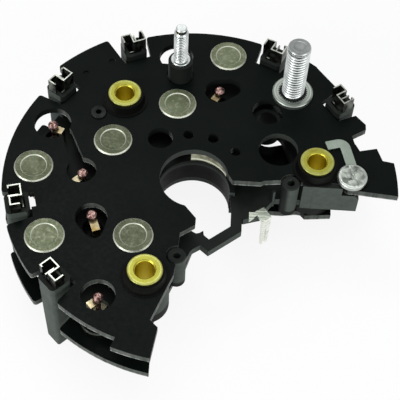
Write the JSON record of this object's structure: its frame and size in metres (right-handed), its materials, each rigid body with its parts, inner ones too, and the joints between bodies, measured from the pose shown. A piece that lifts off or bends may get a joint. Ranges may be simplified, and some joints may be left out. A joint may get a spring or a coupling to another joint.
{
  "type": "alternator rectifier",
  "caption": "C-shaped alternator rectifier: stacked diode heat-sink plates on a moulded carrier, with stator lead terminals, brass mounting bushes and output studs.",
  "frame": {"origin": "rotor shaft axis at the underside of the lower plate, which seats on the end shield", "axes": "+Z along the shaft towards the output studs, +X towards the regulator side of the open sector, -Y towards the open sector"},
  "size_m": [0.1295, 0.1287, 0.0593],
  "materials": {
    "plate_coating": "thin dark coating, satin",
    "carrier_plastic": "glass-filled moulding",
    "diode_case": "nickel-plated, faintly greenish",
    "copper_lead": "copper with a welded tip",
    "brass": "yellow, turned",
    "insulator": "moulded",
    "tinned_strip": "tinned copper, dull bright",
    "zinc_steel": "bright zinc plating",
    "bare_aluminium": "as sheared",
    "dull_steel": "darkened"
  },
  "bodies": {
    "root": {"battery_stud": "zinc_steel", "battery_stud_collar": "zinc_steel", "carrier_eyelet": "dull_steel", "insulating_collar_1": "insulator", "insulating_collar_2": "insulator", "insulating_collar_3": "insulator", "mounting_bush_1": "brass", "mounting_bush_2": "brass", "mounting_bush_3": "brass", "negative_diode_1": "diode_case", "negative_diode_2": "diode_case", "negative_diode_3": "diode_case", "negative_diode_4": "diode_case", "negative_diode_5": "diode_case", "negative_diode_6": "diode_case", "negative_lead_1": "copper_lead", "negative_lead_2": "copper_lead", "negative_lead_3": "copper_lead", "negative_lead_4": "copper_lead", "negative_lead_5": "copper_lead", "negative_lead_6": "copper_lead", "negative_plate": "plate_coating", "phase_bar_1": "tinned_strip", "phase_bar_2": "tinned_strip", "phase_bar_3": "tinned_strip", "phase_stud": "zinc_steel", "positive_diode_1": "diode_case", "positive_diode_2": "diode_case", "positive_diode_3": "diode_case", "positive_diode_4": "diode_case", "positive_diode_5": "diode_case", "positive_diode_6": "diode_case", "positive_lead_1": "copper_lead", "positive_lead_2": "copper_lead", "positive_lead_3": "copper_lead", "positive_lead_4": "copper_lead", "positive_lead_5": "copper_lead", "positive_lead_6": "copper_lead", "positive_plate": "plate_coating", "regulator_contact": "tinned_strip", "ring_contact": "tinned_strip", "stator_clip_1": "tinned_strip", "stator_clip_2": "tinned_strip", "stator_clip_3": "tinned_strip", "stator_clip_4": "tinned_strip", "stator_clip_5": "tinned_strip", "stator_clip_6": "tinned_strip", "strap": "bare_aluminium", "strap_rivet": "bare_aluminium", "terminal_carrier": "carrier_plastic"}
  },
  "joints": []
}
